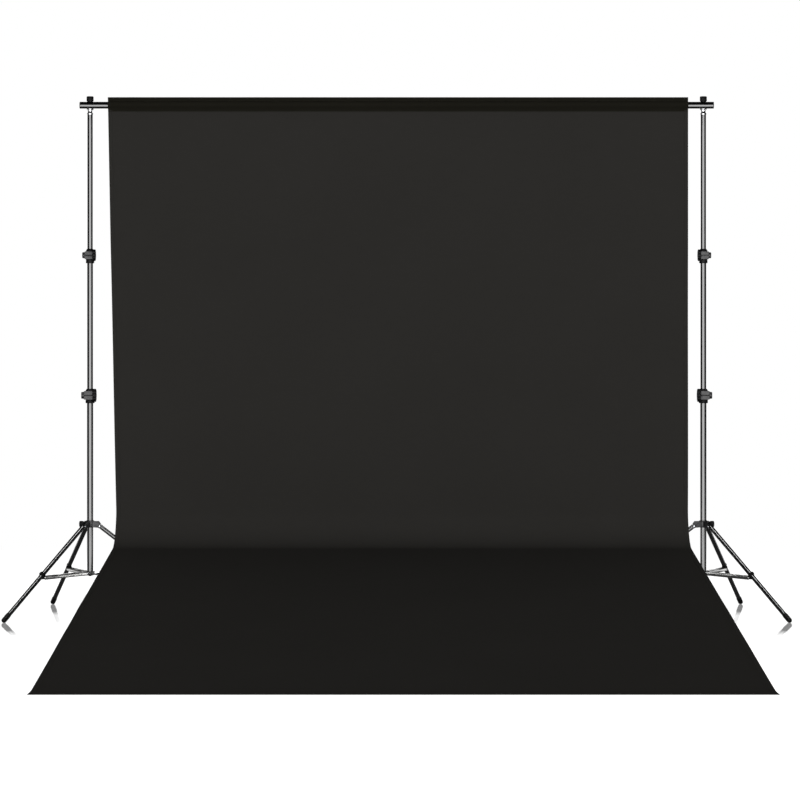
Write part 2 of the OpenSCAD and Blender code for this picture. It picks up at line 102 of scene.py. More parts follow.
# the bend at the foot of the hanging part, and the ramp from there down to the floor
BEND_TOP = 488 * MM
BEND_R = 170 * MM
RAMP_SLOPE = math.radians(5.7)
RAMP_REACH = BAR.y - floor_high.y
RAMP_LANDING = 40 * MM

# how far the weight of the sweep draws the hanging part forward and its edges in, and from which height
DRAWN = 55 * MM
DRAWN_IN_LEFT = 9 * MM
DRAWN_IN_RIGHT = 6 * MM
DRAWN_TOP = 1.75

HEM_T = 2.0 * MM
HEM_W = 20 * MM
HEM_ROLL = 1.2 * MM
STITCH_PITCH = 4 * MM
STITCH_INSET = HEM_W - 2.5 * MM
THREAD_START = 2 * MM                   # the side hems' stitches start this far below the pocket's seam
THREAD = 0.6 * MM
RESTING = CLOTH_T / 2 + THREAD          # on the floor the cloth lies on its own stitches

# the sewn pocket round the bar
POCKET_GAP = 0.75 * MM
POCKET_END = 3 * MM
TUCK = 6 * MM                           # the hanging part starts this far up inside the pocket's seam

# how finely the cloth's line and its sheets are drawn
HANG_STEPS, LEAN_STEPS, BEND_STEPS, RAMP_STEPS = 30, 60, 90, 160
ROW_STEP = 32 * MM
BEND_ROW_STEP = 13 * MM
BEND_MARGIN = 30 * MM
SLOPE_SPAN = 6 * MM                     # the cloth's slope is taken from this far on either side
SHEET_COLUMNS = 60
POCKET_COLUMNS = 90

# ---------- objects ----------


def placed(name, data):
    """A new object in the scene."""
    obj = bpy.data.objects.new(name, data)
    bpy.context.scene.collection.objects.link(obj)
    return obj


def meshed(name, bm):
    """A new object in the scene from finished mesh work."""
    mesh = bpy.data.meshes.new(name)
    bm.to_mesh(mesh)
    bm.free()
    return placed(name, mesh)


# ---------- camera ----------


def studio_camera():
    """A long lens 14 m in front of the bar and 1.2 m up, level, so the columns stay upright."""
    data = bpy.data.cameras.new("studio_camera")
    data.lens = 132.75
    data.sensor_width = 36
    data.shift_x = 0.0041
    data.shift_y = -0.0519
    data.clip_end = 200
    camera = placed("studio_camera", data)
    camera.location = (0, BAR.y - 13.96, 1.224)
    camera.rotation_euler = (math.radians(90), 0, 0)
    bpy.context.scene.camera = camera


# ---------- finishes ----------

LOW, HIGH = 0.3, 0.7                    # nearly all of a noise pattern lies between these


def linear(hex_colour):
    """An sRGB hex colour as a linear RGBA colour."""
    channels = [int(hex_colour[i:i + 2], 16) / 255 for i in (1, 3, 5)]
    return [c / 12.92 if c <= 0.04045 else ((c + 0.055) / 1.055) ** 2.4 for c in channels] + [1]


def per_metre(size_mm):
    """The scale of a pattern whose marks are this many millimetres apart."""
    return 1000 / size_mm


def add(tree, kind, inputs=None, **settings):
    """Adds a node with its settings. An input takes a value, or the output of another node."""
    node = tree.nodes.new(kind)
    for name, value in settings.items():
        setattr(node, name, value)
    for name, value in (inputs or {}).items():
        if isinstance(value, bpy.types.Node):
            value = value.outputs[0]
        if isinstance(value, bpy.types.NodeSocket):
            tree.links.new(value, node.inputs[name])
        else:
            node.inputs[name].default_value = value
    return node


def new_finish(name):
    """A material of this name, with an empty tree to build it in."""
    material = bpy.data.materials.new(name)
    material.use_nodes = True
    material.node_tree.nodes.clear()
    return material, material.node_tree


def mottled_finish(name, dark, light, patch_mm, rough, detail=3.0, stretch=None, grain=None, shader=None):
    """A finish whose colour and roughness drift together in soft patches, this many millimetres across.

    Grain is (spacing in mm, noise detail, depth in mm). Shader holds settings that are the same all over.
    """
    material, tree = new_finish(name)
    place = add(tree, "ShaderNodeTexCoord").outputs["Object"]
    drawn_out = place
    if stretch:
        drawn_out = add(tree, "ShaderNodeVectorMath", {0: place, 1: stretch}, operation="MULTIPLY")
    patches = add(tree, "ShaderNodeTexNoise", {"Vector": drawn_out, "Scale": per_metre(patch_mm),
                                               "Detail": detail})
    colour = add(tree, "ShaderNodeMix", {0: patches, 6: linear(dark), 7: linear(light)}, data_type="RGBA")
    dulled = add(tree, "ShaderNodeMapRange", {"Value": patches, "From Min": LOW, "From Max": HIGH,
                                              "To Min": rough[0], "To Max": rough[1]})
    inputs = {"Base Color": colour.outputs[2], "Roughness": dulled, **(shader or {})}
    if grain:
        spacing, fineness, depth = grain
        grains = add(tree, "ShaderNodeTexNoise", {"Vector": place, "Scale": per_metre(spacing),
                                                  "Detail": fineness})
        inputs["Normal"] = add(tree, "ShaderNodeBump", {"Height": grains, "Distance": depth * MM,
                                                        "Strength": 1.0})
    surface = add(tree, "ShaderNodeBsdfPrincipled", inputs)
    add(tree, "ShaderNodeOutputMaterial", {"Surface": surface})
    return material


def gloss_black_tube():
    """Steel tube, powder coated gloss black: deep black sides and one bright line down its length.

    The coat has a faint orange peel, and sliding and handling leave it a little duller in long patches.
    """
    material, tree = new_finish("gloss_black_powder_coat")
    place = add(tree, "ShaderNodeTexCoord").outputs["Object"]
    lengthwise = add(tree, "ShaderNodeVectorMath", {0: place, 1: (1, 1, 0.2)}, operation="MULTIPLY")
    handling = add(tree, "ShaderNodeTexNoise", {"Vector": lengthwise, "Scale": per_metre(40),
                                                "Detail": 5.0})
    orange_peel = add(tree, "ShaderNodeTexNoise", {"Vector": place, "Scale": per_metre(3), "Detail": 2.0})
    slide_marks = add(tree, "ShaderNodeVectorMath", {0: place, 1: (1, 1, 0.01)}, operation="MULTIPLY")
    scratches = add(tree, "ShaderNodeTexNoise", {"Vector": slide_marks, "Scale": per_metre(0.8),
                                                 "Detail": 3.0})
    scratched = add(tree, "ShaderNodeMapRange", {"Value": scratches, "From Min": 0.62, "From Max": 0.72})
    colour = add(tree, "ShaderNodeMix", {0: handling, 6: linear("#050506"), 7: linear("#0a0a0c")},
                 data_type="RGBA").outputs[2]
    dulled = add(tree, "ShaderNodeMapRange", {"Value": handling, "From Min": LOW, "From Max": HIGH,
                                              "To Min": 0.08, "To Max": 0.12})
    rough = add(tree, "ShaderNodeMath", {0: scratched, 1: 0.04, 2: dulled}, operation="MULTIPLY_ADD")
    bump = add(tree, "ShaderNodeBump", {"Height": orange_peel, "Distance": 0.003 * MM, "Strength": 1.0})
    surface = add(tree, "ShaderNodeBsdfPrincipled", {
        "Base Color": colour, "Roughness": rough, "Normal": bump, "IOR": 1.5, "Specular IOR Level": 1.0,
        "Coat Weight": 1.0, "Coat Roughness": 0.05, "Coat IOR": 1.6,
    })
    add(tree, "ShaderNodeOutputMaterial", {"Surface": surface})
    return material


def moulded_nylon():
    """Glass-filled nylon from a spark-eroded mould: near-black grey, with a fine even grain that greys it.

    The real grain is 0.2 mm. It is drawn at 0.9 mm so that it shows at all.
    """
    return mottled_finish("moulded_glass_filled_nylon", "#141415", "#202022", 18, (0.38, 0.5),
                          grain=(0.9, 3.0, 0.04), shader={"IOR": 1.53, "Specular IOR Level": 0.6})


def knob_abs():
    """Moulded ABS knobs and clips: blacker than the nylon, worn from matt to satin by the fingers."""
    return mottled_finish("satin_black_abs", "#0b0b0c", "#131314", 9, (0.4, 0.56), grain=(0.7, 2.0, 0.02),
                          shader={"IOR": 1.54, "Specular IOR Level": 0.12})


def nickel_channel():
    """Pressed steel strip, nickel plated: flat faces are white or near black by what stands opposite."""
    return mottled_finish("bright_nickel_plate", "#d4d4d2", "#e6e6e6", 12, (0.1, 0.18), detail=4.0,
                          grain=(1.5, 2.0, 0.01), shader={"Metallic": 1.0})


def zinc_plate():
    """Bright zinc plating on rivets and nuts: pale, slightly cloudy metal."""
    return mottled_finish("bright_zinc_plate", "#c3c6ca", "#e0e2e5", 2.5, (0.2, 0.34),
                          shader={"Metallic": 1.0})


def blackened_steel():
    """Black oxide on the clip screws and the columns' end screws: dark metal with a brownish oil sheen."""
    return mottled_finish("black_oxide_steel", "#26241f", "#3a3834", 3, (0.3, 0.45),
                          shader={"Metallic": 1.0})


def chrome_plate():
    """Polished chrome on the turned spigots, with faint turning rings: mirrors the studio in bands."""
    return mottled_finish("polished_chrome", "#e4e5e7", "#f4f5f6", 4, (0.05, 0.1), detail=2.0,
                          stretch=(0.2, 0.2, 6), shader={"Metallic": 1.0})


def moulded_rubber():
    """Moulded EPDM rubber on the feet and bar ends: black, with a dull shine and a faint greyish bloom."""
    return mottled_finish("moulded_black_rubber", "#090909", "#131312", 7, (0.2, 0.3), detail=4.0,
                          grain=(0.8, 2.0, 0.02), shader={"IOR": 1.52, "Specular IOR Level": 0.14})


def woven_muslin(name, dark, light):
    """Dyed cotton muslin: a dead matt black with a plain weave, slubs in the yarn and slightly uneven dye.

    The real yarns are 0.5 mm apart. The weave is drawn 3 mm apart so that it shows at all.
    """
    material, tree = new_finish(name)
    turns = 2 * math.pi * per_metre(3)
    place = add(tree, "ShaderNodeTexCoord").outputs["Object"]
    axes = add(tree, "ShaderNodeSeparateXYZ", {0: place})
    # the yarns that run down the cloth follow its height where it hangs, and its depth where it lies
    down = add(tree, "ShaderNodeMath", {0: axes.outputs["Z"], 1: axes.outputs["Y"]}, operation="SUBTRACT")
    warp_turn = add(tree, "ShaderNodeMath", {0: axes.outputs["X"], 1: turns}, operation="MULTIPLY")
    weft_turn = add(tree, "ShaderNodeMath", {0: down, 1: turns}, operation="MULTIPLY")
    warp = add(tree, "ShaderNodeMath", {0: warp_turn}, operation="SINE")
    weft = add(tree, "ShaderNodeMath", {0: weft_turn}, operation="SINE")
    weave = add(tree, "ShaderNodeMath", {0: warp, 1: weft}, operation="MULTIPLY")
    along_yarn = add(tree, "ShaderNodeVectorMath", {0: place, 1: (0.25, 1, 1)}, operation="MULTIPLY")
    slubs = add(tree, "ShaderNodeTexNoise", {"Vector": along_yarn, "Scale": per_metre(14), "Detail": 3.0})
    dye = add(tree, "ShaderNodeTexNoise", {"Vector": place, "Scale": per_metre(420), "Detail": 3.0})
    uneven = add(tree, "ShaderNodeMath", {0: dye, 1: slubs}, operation="ADD")
    halved = add(tree, "ShaderNodeMath", {0: uneven, 1: 0.5}, operation="MULTIPLY")
    colour = add(tree, "ShaderNodeMix", {0: halved, 6: linear(dark), 7: linear(light)},
                 data_type="RGBA").outputs[2]
    rough = add(tree, "ShaderNodeMapRange", {"Value": slubs, "From Min": LOW, "From Max": HIGH,
                                             "To Min": 0.88, "To Max": 0.97})
    yarn_bump = add(tree, "ShaderNodeBump", {"Height": weave, "Distance": 0.05 * MM, "Strength": 1.0})
    bump = add(tree, "ShaderNodeBump", {"Height": slubs, "Distance": 0.08 * MM, "Strength": 1.0,
                                        "Normal": yarn_bump})
    surface = add(tree, "ShaderNodeBsdfPrincipled", {
        "Base Color": colour, "Roughness": rough, "Normal": bump, "Specular IOR Level": 0.0,
    })
    add(tree, "ShaderNodeOutputMaterial", {"Surface": surface})
    return material


def waxed_thread():
    """Waxed polyester thread: a shade glossier and paler than the cloth it sews."""
    return mottled_finish("waxed_polyester_thread", "#201f1d", "#33312e", 1.2, (0.5, 0.65), detail=2.0,
                          shader={"Specular IOR Level": 0.3})


FINISHES = {
    "tube": gloss_black_tube(),
    "moulded": moulded_nylon(),
    "knob": knob_abs(),
    "channel": nickel_channel(),
    "rivet": zinc_plate(),
    "screw": blackened_steel(),
    "chrome": chrome_plate(),
    "rubber": moulded_rubber(),
    "cloth": woven_muslin("dyed_black_muslin", "#2b2a28", "#302f2d"),
    # the pocket gets a darker copy of the same muslin: painted shade for the band round the bar, not a
    # darker cloth
    "pocket": woven_muslin("black_muslin_painted_pocket_shade", "#1c1b16", "#201f1a"),
    "thread": waxed_thread(),
}

# ---------- making pieces ----------


def piece(name, bm, finish, body=None, crease=None):
    """A named object with its finish, riding on a body. Edges sharper than the crease angle stay crisp."""
    bmesh.ops.recalc_face_normals(bm, faces=bm.faces)
    obj = meshed(name, bm)
    obj.data.materials.append(FINISHES[finish])
    obj.data.shade_smooth()
    if crease:
        obj.data.set_sharp_from_angle(angle=math.radians(crease))
    if body:
        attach(obj, body)
    return obj


def body_of(node):
    """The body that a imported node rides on."""
    return frame["nodes"][node]["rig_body"]


def bare(node, finish):
    """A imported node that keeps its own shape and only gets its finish."""
    frame["nodes"][node].data.materials[0] = FINISHES[finish]


ROUNDED_FROM = math.radians(32)         # edges that turn more than this are rounded


def softened(node, width_mm, finish, recess=None, painted_shade_behind=None):
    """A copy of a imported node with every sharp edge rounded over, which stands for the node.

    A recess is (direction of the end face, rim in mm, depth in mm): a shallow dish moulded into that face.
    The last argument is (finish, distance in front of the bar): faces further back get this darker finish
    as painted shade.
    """
    bm = bmesh.new()
    bm.from_mesh(frame["nodes"][node].data)
    bmesh.ops.remove_doubles(bm, verts=bm.verts, dist=0.01 * MM)
    bmesh.ops.dissolve_limit(bm, angle_limit=math.radians(0.6), verts=bm.verts, edges=bm.edges)
    if recess:
        out, rim, depth = recess
        faces = [face for face in bm.faces if face.normal.dot(out) > 0.99]
        end = max(faces, key=lambda face: face.calc_center_median().dot(out))
        bmesh.ops.inset_region(bm, faces=[end], thickness=rim * MM, use_even_offset=True)
        bmesh.ops.inset_region(bm, faces=[end], thickness=0.6 * MM, depth=-depth * MM,
                               use_even_offset=True)
    # painted shade: faces behind the front get the darker finish
    if painted_shade_behind:
        for face in bm.faces:
            face.material_index = int(face.calc_center_median().y > BAR.y - painted_shade_behind[1])
    obj = piece(node + "_soft_edged", bm, finish)
    if painted_shade_behind:
        obj.data.materials.append(FINISHES[painted_shade_behind[0]])
    rounding = obj.modifiers.new("edge_rounding", "BEVEL")
    rounding.width = width_mm * MM
    rounding.segments = 2
    rounding.limit_method = "ANGLE"
    rounding.angle_limit = ROUNDED_FROM
    rounding.use_clamp_overlap = True
    rounding.harden_normals = True
    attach(obj, body_of(node))
    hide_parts(node)
    return obj


def facing(point, direction):
    """A place at a point whose Z runs along a direction."""
    turn = Vector(direction).to_track_quat("Z", "Y").to_matrix().to_4x4()
    return Matrix.Translation(Vector(point)) @ turn


def join_rings(bm, a, b, steps):
    """Faces all round between two rings of points. A ring of a single point makes a tip."""
    for i in range(steps):
        j = (i + 1) % steps
        corners = [a[i % len(a)], a[j % len(a)], b[j % len(b)], b[i % len(b)]]
        bm.faces.new(list(dict.fromkeys(corners)))


def turned(bm, place, outline, steps=40):
    """Adds a ring or disc: an outline of (radius, height) in mm, spun about the place's Z."""
    rings = []
    for radius, height in outline:
        count = steps if radius > 0 else 1
        angles = [2 * math.pi * i / steps for i in range(count)]
        rings.append([
            bm.verts.new(place @ (Vector((radius * math.cos(a), radius * math.sin(a), height)) * MM))
            for a in angles
        ])
    joins = list(zip(rings, rings[1:]))
    if outline[0][0] > 0 and outline[-1][0] > 0:
        joins.append((rings[-1], rings[0]))
    for a, b in joins:
        join_rings(bm, a, b, steps)


def pressed_bead(bm, place, start, end, width, height, steps=12):
    """Adds the long low ridge that a press puts into a strip to stiffen it: in mm, along the place's X."""
    round_off = width / 2
    end_angles = np.linspace(0, math.pi / 2, 7)
    sections = [start + round_off * (1 - math.cos(a)) for a in end_angles]
    sections += [end - round_off * (1 - math.cos(a)) for a in end_angles[::-1]]
    rings = []
    for x in sections:
        from_end = min(x - start, end - x, round_off)
        share = math.sqrt(max(0, 1 - (1 - from_end / round_off) ** 2))
        angles = np.linspace(0, math.pi, steps) if share > 0.01 else [0]
        half = round_off * share
        rings.append([
            bm.verts.new(place @ (Vector((x, half * math.cos(a), height * share * math.sin(a))) * MM))
            for a in angles
        ])
    for a, b in zip(rings, rings[1:]):
        join_rings(bm, a, b, steps)


def thread_row(bm, line, length):
    """Adds lockstitches end to end. The line gives the point and the way out at a distance along the row.

    A stitch is a double cone that is highest in the middle and sinks into the cloth at both ends.
    """
    radius = THREAD / 2
    for i in range(int(length / STITCH_PITCH)):
        start, _ = line((i + 0.1) * STITCH_PITCH)
        middle, out = line((i + 0.5) * STITCH_PITCH)
        end, _ = line((i + 0.9) * STITCH_PITCH)
        aside = (end - start).cross(out).normalized() * radius
        centre = middle + out * radius * 0.6
        ring = [centre + aside, centre + out * radius, centre - aside, centre - out * radius * 1.2]
        ring = [bm.verts.new(point) for point in ring]
        tips = [bm.verts.new(start - out * radius * 0.4), bm.verts.new(end - out * radius * 0.4)]
        for k in range(4):
            bm.faces.new([tips[0], ring[(k + 1) % 4], ring[k]])
            bm.faces.new([tips[1], ring[k], ring[(k + 1) % 4]])


# ---------- the cloth ----------


def part_way(value, start, end):
    """How far a value has gone from start to end, kept between 0 and 1."""
    return min(max((value - start) / (end - start), 0), 1)


def drawn_in(z):
    """How far the edges are drawn in at a height: fully at the bend, not at all at the bar or the floor."""
    return part_way(z, DRAWN_TOP, BEND_TOP) * min(z / BEND_TOP, 1)


def cloth_left_edge(z):
    """The cloth's left edge runs in from the header to the bend, then out again over the floor."""
    top = CLOTH_LEFT_TOP - CLOTH_LEFT
    return CLOTH_LEFT + top * part_way(z, BEND_TOP, HEADER_TOP) + DRAWN_IN_LEFT * drawn_in(z)


def cloth_right_edge(z):
    """The cloth's right edge, which hangs straighter."""
    return CLOTH_RIGHT - DRAWN_IN_RIGHT * drawn_in(z)


def drape_points():
    """The cloth's line down, round the bend and forward: distance in front of the bar, and height.

    The sweep's weight draws the hanging part a little forward, so it passes in front of the inner legs.
    """
    line = [(0.0, z) for z in np.linspace(HEADER_TOP, DRAWN_TOP, HANG_STEPS)]
    for t in np.linspace(0, 1, LEAN_STEPS)[1:]:
        line.append((DRAWN * t * t * (3 - 2 * t), DRAWN_TOP + (BEND_TOP - DRAWN_TOP) * t))
    for angle in np.linspace(0, math.pi / 2 - RAMP_SLOPE, BEND_STEPS)[1:]:
        line.append((DRAWN + BEND_R * (1 - math.cos(angle)), BEND_TOP - BEND_R * math.sin(angle)))
    y0, z0 = line[-1]
    foot = min(y0 + z0 / math.tan(RAMP_SLOPE), RAMP_REACH - RAMP_LANDING)
    for t in np.linspace(0, 1, RAMP_STEPS)[1:]:
        left = 1 - t
        line.append((left ** 2 * y0 + 2 * t * left * foot + t * t * RAMP_REACH,
                     left ** 2 * z0 + (1 - left ** 2) * RESTING))
    line.append((CLOTH_FRONT, RESTING))
    return np.array(line)


DRAPE = drape_points()
DRAPE_ALONG = np.concatenate([[0], np.cumsum(np.linalg.norm(np.diff(DRAPE, axis=0), axis=1))])
DRAPE_LENGTH = float(DRAPE_ALONG[-1])
BEND_START = HEADER_TOP - BEND_TOP
BEND_END = BEND_START + BEND_R * math.pi / 2
FOLDS_END = 1.9
SETTLE_START = 2.3
SETTLE_END = DRAPE_LENGTH - 0.05


def drape_at(s):
    """Distance in front of the bar, height, and the way out of the cloth's face, so far along it."""
    here, before, after = (
        np.array([np.interp(along, DRAPE_ALONG, DRAPE[:, i]) for i in (0, 1)])
        for along in (s, s - SLOPE_SPAN, s + SLOPE_SPAN)
    )
    run = (after - before) / np.linalg.norm(after - before)
    return float(here[0]), float(here[1]), Vector((0, float(run[1]), float(run[0])))


def ripple(x, s):
    """How far the cloth stands off its even line, from waves whose heights are in mm.

    Long shallow folds hang from the bar and die away above the bend. Past the bend the cloth settles
    unevenly, and it lies flat again at its front.
    """
    hang = math.sin(math.pi * s / FOLDS_END) if s < FOLDS_END else 0
    folds = 1.7 * math.sin(x * 7.3 + 0.6) + 1.0 * math.sin(x * 13.1 + s * 0.8 + 2.0)
    lying = math.sin(math.pi * part_way(s, SETTLE_START, SETTLE_END)) ** 2
    settle = 1.6 * (1.0 + math.sin(x * 4.1 + s * 5.3) * math.sin(s * 3.7 + 1.0))
    return (folds * hang + settle * lying) * MM


def on_cloth(x, s, lift=0.0):
    """A point on the cloth's middle surface, or lifted off it, and the way out of its face there."""
    forward, height, out = drape_at(s)
    return Vector((x, BAR.y - forward, height)) + out * (ripple(x, s) + lift), out


def hem_marks():
    """Distances in from a hemmed edge at which the hem's shape changes."""
    rolled_edge = (0.4 * MM, HEM_ROLL)
    sewn_edge = [HEM_W - mark for mark in reversed(rolled_edge)]
    return [0, *rolled_edge, HEM_W / 2, *sewn_edge, HEM_W, HEM_W + 1.5 * MM]


def hem_thickness(distance):
    """The cloth is doubled over in the hem, with rolled edges."""
    if distance > HEM_W:
        return CLOTH_T
    rolled = min(distance, HEM_W - distance)
    return CLOTH_T + (HEM_T - CLOTH_T) * min(1, 0.25 + rolled / HEM_ROLL * 0.75)


def cloth_rows(start, stop, front_hem):
    """Distances along the drape for the rows of a sheet: close together in the bend and over a hem."""
    rows = [start]
    last = stop - hem_marks()[-1] if front_hem else stop
    while rows[-1] < last - 1 * MM:
        in_bend = BEND_START - BEND_MARGIN < rows[-1] < BEND_END + BEND_MARGIN
        rows.append(min(rows[-1] + (BEND_ROW_STEP if in_bend else ROW_STEP), last))
    if front_hem:
        rows += [stop - mark for mark in reversed(hem_marks()[:-1])]
    return rows


def cloth_sheet(name, start, stop, front_hem):
    """A two-sided sheet of cloth between two distances along the drape, with hems at its free edges."""
    marks = hem_marks()
    rows = cloth_rows(start, stop, front_hem)
    bm = bmesh.new()
    made = {1: [], -1: []}
    for s in rows:
        height = drape_at(s)[1]
        left = cloth_left_edge(height)
        width = cloth_right_edge(height) - left
        inner = np.linspace(marks[-1], width - marks[-1], SHEET_COLUMNS)[1:-1]
        across = marks + list(inner) + [width - mark for mark in reversed(marks)]
        line = {1: [], -1: []}
        for a in across:
            thick = hem_thickness(min(a, width - a))
            if front_hem:
                thick = max(thick, hem_thickness(stop - s))
            for side, lift in ((1, thick - CLOTH_T / 2), (-1, -CLOTH_T / 2)):
                line[side].append(bm.verts.new(on_cloth(left + a, s, lift)[0]))
        for side in made:
            made[side].append(line[side])
    count, wide = len(rows), len(made[1][0])
    for r in range(count - 1):
        for c in range(wide - 1):
            for side, g in made.items():
                corners = [g[r][c], g[r + 1][c], g[r + 1][c + 1], g[r][c + 1]]
                bm.faces.new(corners if side == 1 else corners[::-1])
    rim = [(0, c) for c in range(wide)] + [(r, wide - 1) for r in range(1, count)]
    rim += [(count - 1, c) for c in range(wide - 2, -1, -1)] + [(r, 0) for r in range(count - 2, 0, -1)]
    for (r0, c0), (r1, c1) in zip(rim, rim[1:] + rim[:1]):
        bm.faces.new([made[1][r0][c0], made[1][r1][c1], made[-1][r1][c1], made[-1][r0][c0]])
    return piece(name, bm, "cloth", crease=60)


def pocket_profile():
    """Half of the sewn pocket's section: seam, round the bar, pinch line, header. Y is outward."""
    wrap_r = BAR_R + CLOTH_T
    seam_z = POCKET_SEAM - BAR.z
    header_z = HEADER_TOP - BAR.z
    gap = POCKET_GAP
    low = math.acos(wrap_r / -seam_z) - math.pi / 2
    high = math.pi / 2 - 0.28
    points = [(gap + 0.5 * MM, seam_z), (gap + 0.5 * MM, seam_z + 2 * MM), (gap, seam_z + 6 * MM)]
    points += [(wrap_r * math.cos(a), wrap_r * math.sin(a)) for a in np.linspace(low, high, 22)]
    points += [(gap, BAR_R + 3.2 * MM), (gap + 0.2 * MM, BAR_R + 6 * MM)]
    points += [(gap + 0.45 * MM, header_z - 8 * MM), (gap + 0.3 * MM, header_z - 1.6 * MM)]
    points += [(0.5 * MM, header_z - 0.6 * MM)]
    return points


def header_sway(x, z):
    """The standing header leans a little forward and back along its length."""
    bar_top = BAR.z + BAR_R
    return 0.5 * MM * math.sin(x * 21) * max(0, (z - bar_top) / (HEADER_TOP - bar_top))


def cloth_pocket():
    """The pocket the bar runs through: a strip folded over at the header, sewn above and below the bar."""
    half = pocket_profile()
    line = half + [(-y, z) for y, z in reversed(half)]
    faces = ([], [])
    for i, (y, z) in enumerate(line):
        before, after = line[max(i - 1, 0)], line[min(i + 1, len(line) - 1)]
        run = Vector((after[0] - before[0], after[1] - before[1])).normalized()
        normal = Vector((run.y, -run.x)) * CLOTH_T / 2
        faces[0].append(Vector((y, z)) + normal)
        faces[1].append(Vector((y, z)) - normal)
    bm = bmesh.new()
    rings = []
    for t in np.linspace(0, 1, POCKET_COLUMNS):
        ring = []
        for point in faces[0] + faces[1][::-1]:
            z = BAR.z + point.y
            left = cloth_left_edge(z)
            x = left + (CLOTH_RIGHT - left) * t
            ring.append(bm.verts.new((x, BAR.y + point.x + header_sway(x, z), z)))
        rings.append(ring)
    size = len(rings[0])
    for a, b in zip(rings, rings[1:]):
        join_rings(bm, a, b, size)
    for ring in (rings[0], rings[-1]):
        for i in range(size // 2 - 1):
            bm.faces.new([ring[i], ring[i + 1], ring[size - 2 - i], ring[size - 1 - i]])
    # the darker pocket muslin is painted shade for the band round the bar
    pocket = piece("cloth_rod_pocket", bm, "pocket", "crossbar", crease=60)
    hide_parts("cloth_pocket")
    return pocket


def pocket_stitching():
    """A row through the pocket's foot and a row pinched above the bar, seen on both faces."""
    bm = bmesh.new()
    seam_row = (POCKET_SEAM + 1.2 * MM, POCKET_GAP + 0.5 * MM)
    pinch_row = (BAR.z + BAR_R + 4.6 * MM, POCKET_GAP + 0.1 * MM)
    for z, middle in (seam_row, pinch_row):
        left = cloth_left_edge(z) + POCKET_END
        for way in (-1, 1):
            out = Vector((0, way, 0))
            off = way * (middle + CLOTH_T / 2)

            def line(d, z=z, left=left, out=out, off=off):
                x = left + d
                return Vector((x, BAR.y + off + header_sway(x, z), z)), out

            thread_row(bm, line, CLOTH_RIGHT - left - POCKET_END)
    return piece("cloth_pocket_stitching", bm, "thread", "crossbar", crease=20)


def hem_stitching(name, start, stop, front_hem):
    """A row of stitches down each side hem, and along the front hem, on both faces."""
    bm = bmesh.new()
    for way in (1, -1):
        lift = HEM_T - CLOTH_T / 2 if way == 1 else -CLOTH_T / 2

        def left_row(d):
            edge = cloth_left_edge(drape_at(start + d)[1])
            point, out = on_cloth(edge + STITCH_INSET, start + d, lift)
            return point, out * way

        def right_row(d):
            edge = cloth_right_edge(drape_at(start + d)[1])
            point, out = on_cloth(edge - STITCH_INSET, start + d, lift)
            return point, out * way

        def front_row(d):
            point, out = on_cloth(CLOTH_LEFT + STITCH_INSET + d, stop - STITCH_INSET, lift)
            return point, out * way

        length = stop - start - (STITCH_INSET if front_hem else 0)
        thread_row(bm, left_row, length)
        thread_row(bm, right_row, length)
        if front_hem:
            thread_row(bm, front_row, CLOTH_RIGHT - CLOTH_LEFT - 2 * STITCH_INSET)
    return piece(name, bm, "thread", crease=20)


def hang_cloth():
    """The pocket rides on the bar. Below it hang the cloth's two sheets and their stitching, fixed in
    place.
    """
    seam_s = HEADER_TOP - POCKET_SEAM
    panel_s = HEADER_TOP - PANEL_LINE
    pocket = cloth_pocket()
    pocket_thread = pocket_stitching()
    hanging = cloth_sheet("cloth_hanging_sheet", seam_s - TUCK, panel_s, False)
    hanging_thread = hem_stitching("cloth_hanging_hem_stitching", seam_s + THREAD_START, panel_s, False)
    sweeping = cloth_sheet("cloth_sweep_sheet", panel_s, DRAPE_LENGTH, True)
    sweeping_thread = hem_stitching("cloth_sweep_hem_stitching", panel_s, DRAPE_LENGTH, True)
    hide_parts("cloth_upper_panel")
    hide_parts("cloth_lower_panel", "cloth_ramp_panel", "cloth_floor_panel")
    for sheet in (hanging, hanging_thread):
        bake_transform(sheet)
    for sheet in (sweeping, sweeping_thread):
        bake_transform(sheet)
    for sheet in (pocket, pocket_thread, hanging, hanging_thread, sweeping, sweeping_thread):
        sheet.visible_glossy = False      # the polished floor shows each foot, and not the cloth


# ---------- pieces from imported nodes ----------

# sizes in mm, and angles from the upright (leg) and the level (brace)
LEG_ANGLE = math.radians(53.1)
LEG_LENGTH = 672
LEG_R = 10.5
CLIP_DISTANCE = 355
BRACE_TILT = math.radians(0.56)
BRACE_LENGTH = 292.9
BRACE_HALF_H = 8.5
BRACE_END_FLAT = 116                    # the bead in a brace stops this far short of its outer rivet
SLEEVE_HALF = 33                        # half the height of a collar's sleeve
COLLARS = {"lower": 1.13, "upper": 1.0}     # the size of each collar's clamp, against the upper one's
CLAMP_FRONT = 22                        # only a clamp's face stands further in front of the bar than this; the collar behind it gets painted shade
SCREW_END = 33                          # how far a clamp's screw reaches behind the tube's middle
TUBE_STEP = 1.0                         # how much smaller a tube's radius is than the next one down
BUSH_CLEAR = 0.35                       # the gap between a guide bush and the tube that slides in it


def stand_place(side):
    """A stand's own place: its column on Z, and X towards the other stand."""
    mirror = Matrix.Scale(-SIDES[side], 4, (1, 0, 0))
    return Matrix.Translation((SIDES[side] * STAND_X, BAR.y, 0)) @ mirror


def limb_place(side, joint, tip):
    """A leg's or brace's own place, from its joint: turned out about the column, then tipped."""
    x, y, z = JOINTS[joint]["pos_m"]
    inward = -SIDES[side] * (x - SIDES[side] * STAND_X)
    azimuth = math.atan2(y - BAR.y, inward)
    reach = math.hypot(y - BAR.y, inward)
    joint_place = Matrix.Rotation(azimuth, 4, "Z") @ Matrix.Translation((reach, 0, z))
    return stand_place(side) @ joint_place @ Matrix.Rotation(tip, 4, "Y")


